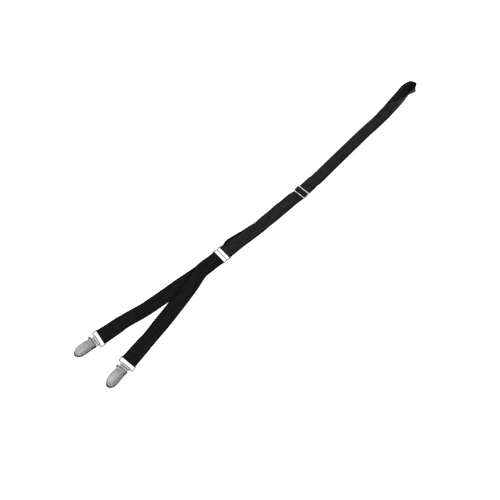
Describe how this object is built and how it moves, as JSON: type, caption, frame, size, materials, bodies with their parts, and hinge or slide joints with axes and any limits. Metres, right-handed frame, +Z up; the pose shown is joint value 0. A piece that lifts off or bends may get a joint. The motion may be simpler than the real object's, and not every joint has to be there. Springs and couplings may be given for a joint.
{
  "type": "shirt stay",
  "caption": "Elastic shirt stay in a Y shape: a foot loop with a slider, joined by a wire ring to legs that end in metal clips with hinged levers.",
  "frame": {"origin": "centre of the footprint, on the surface that the stay lies on", "axes": "+X from the clips to the foot loop along the strap, +Y across it, +Z up from the surface"},
  "size_m": [0.611, 0.0682, 0.0196],
  "materials": {
    "elastic": "black woven elastic tape",
    "plated_wire": "bright nickel plated steel wire",
    "plated_sheet": "nickel plated pressed steel, satin",
    "blackened_pin": "blackened steel pin",
    "jaw_plastic": "black moulded plastic"
  },
  "bodies": {
    "stay": {"foot_strap": "elastic", "leg_strap": "elastic", "junction_ring": "plated_wire", "slider": "plated_wire", "bail_left": "plated_wire", "clip_base_left": "plated_sheet", "jaw_pad_left": "jaw_plastic", "hinge_pin_left": "blackened_pin", "bail_right": "plated_wire", "clip_base_right": "plated_sheet", "jaw_pad_right": "jaw_plastic", "hinge_pin_right": "blackened_pin"},
    "lever_left_body": {"lever_left": "plated_sheet"},
    "lever_right_body": {"lever_right": "plated_sheet"}
  },
  "joints": [
    {"name": "lever_left_hinge", "type": "hinge", "parent": "stay", "child": "lever_left_body", "pos_m": [-0.28257, 0.02398, 0.0036], "axis": [0.1305, 0.9914, 0], "range_deg": [0, 80]},
    {"name": "lever_right_hinge", "type": "hinge", "parent": "stay", "child": "lever_right_body", "pos_m": [-0.27755, -0.02405, 0.0036], "axis": [-0.1392, 0.9903, 0], "range_deg": [0, 80]}
  ]
}
